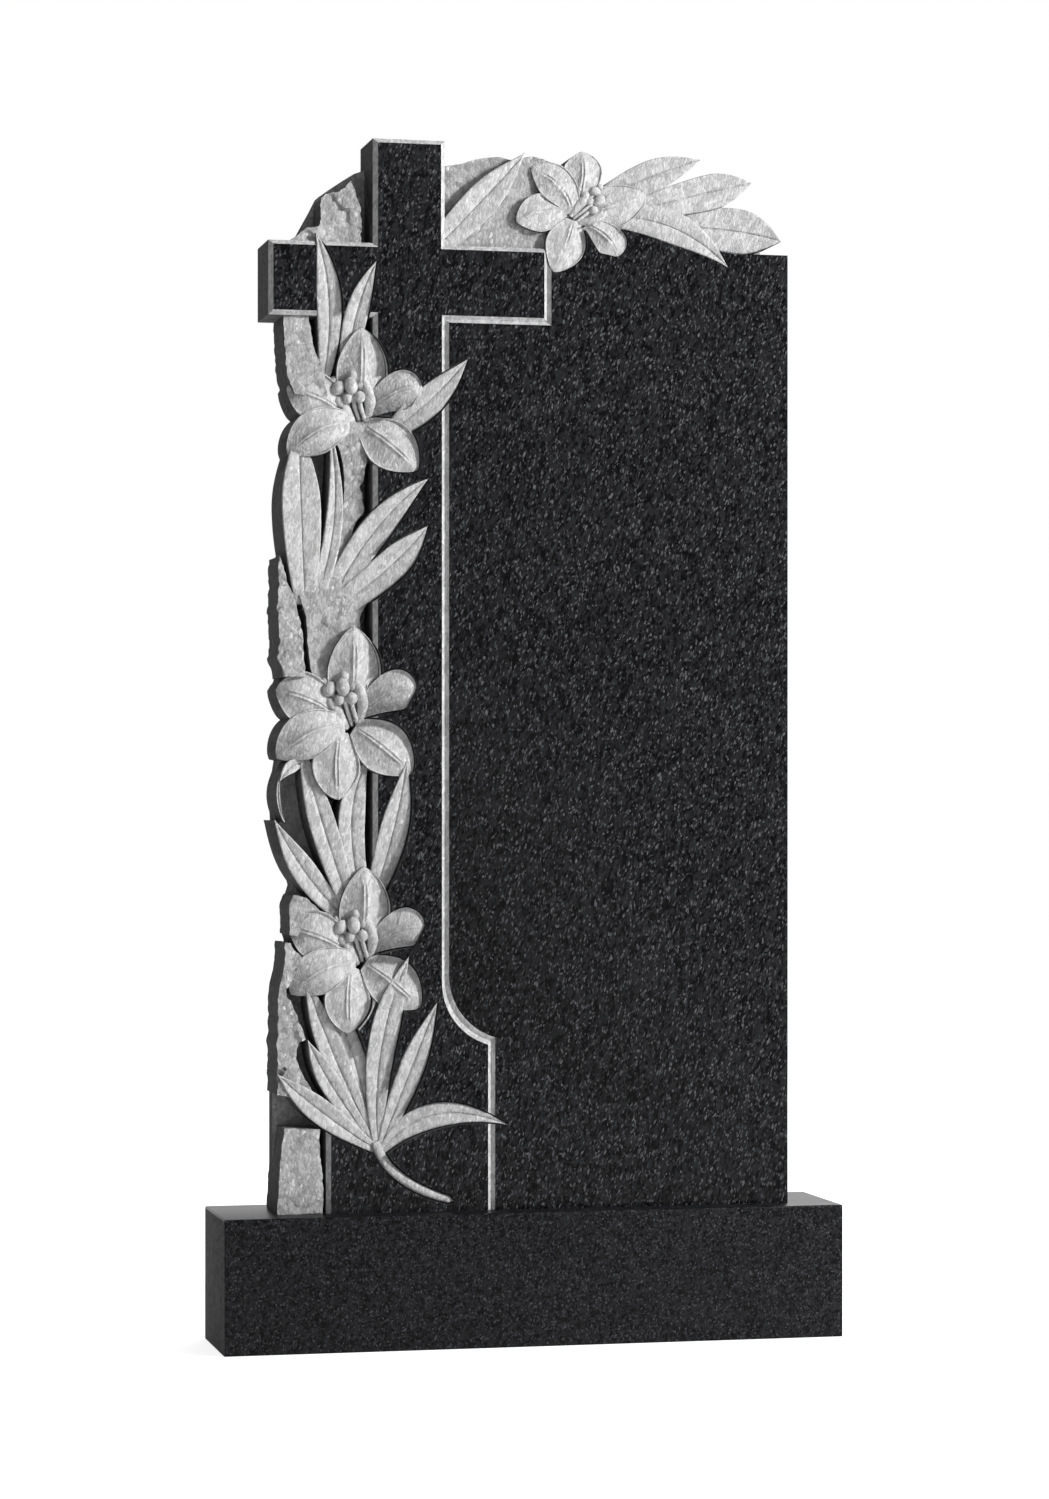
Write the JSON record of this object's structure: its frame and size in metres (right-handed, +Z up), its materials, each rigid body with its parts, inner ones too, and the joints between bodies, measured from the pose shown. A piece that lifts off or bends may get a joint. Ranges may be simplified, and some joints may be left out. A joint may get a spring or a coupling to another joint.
{
  "type": "carved granite headstone",
  "caption": "Upright polished granite headstone with a carved cross, lilies and broken-rock relief, standing on a rectangular plinth block.",
  "frame": {"origin": "centre of the plinth's underside, on the ground", "axes": "+Z up, +X to the viewer's right along the width, -Y out of the carved front"},
  "size_m": [0.71, 0.15, 1.35],
  "materials": {
    "plinth_granite": "black granite, polished faces with fine pale flecks",
    "slab_granite": "black granite, polished front, dull sawn sides and pale frosted carving"
  },
  "bodies": {
    "root": {"plinth": "plinth_granite", "slab": "slab_granite"}
  },
  "joints": []
}
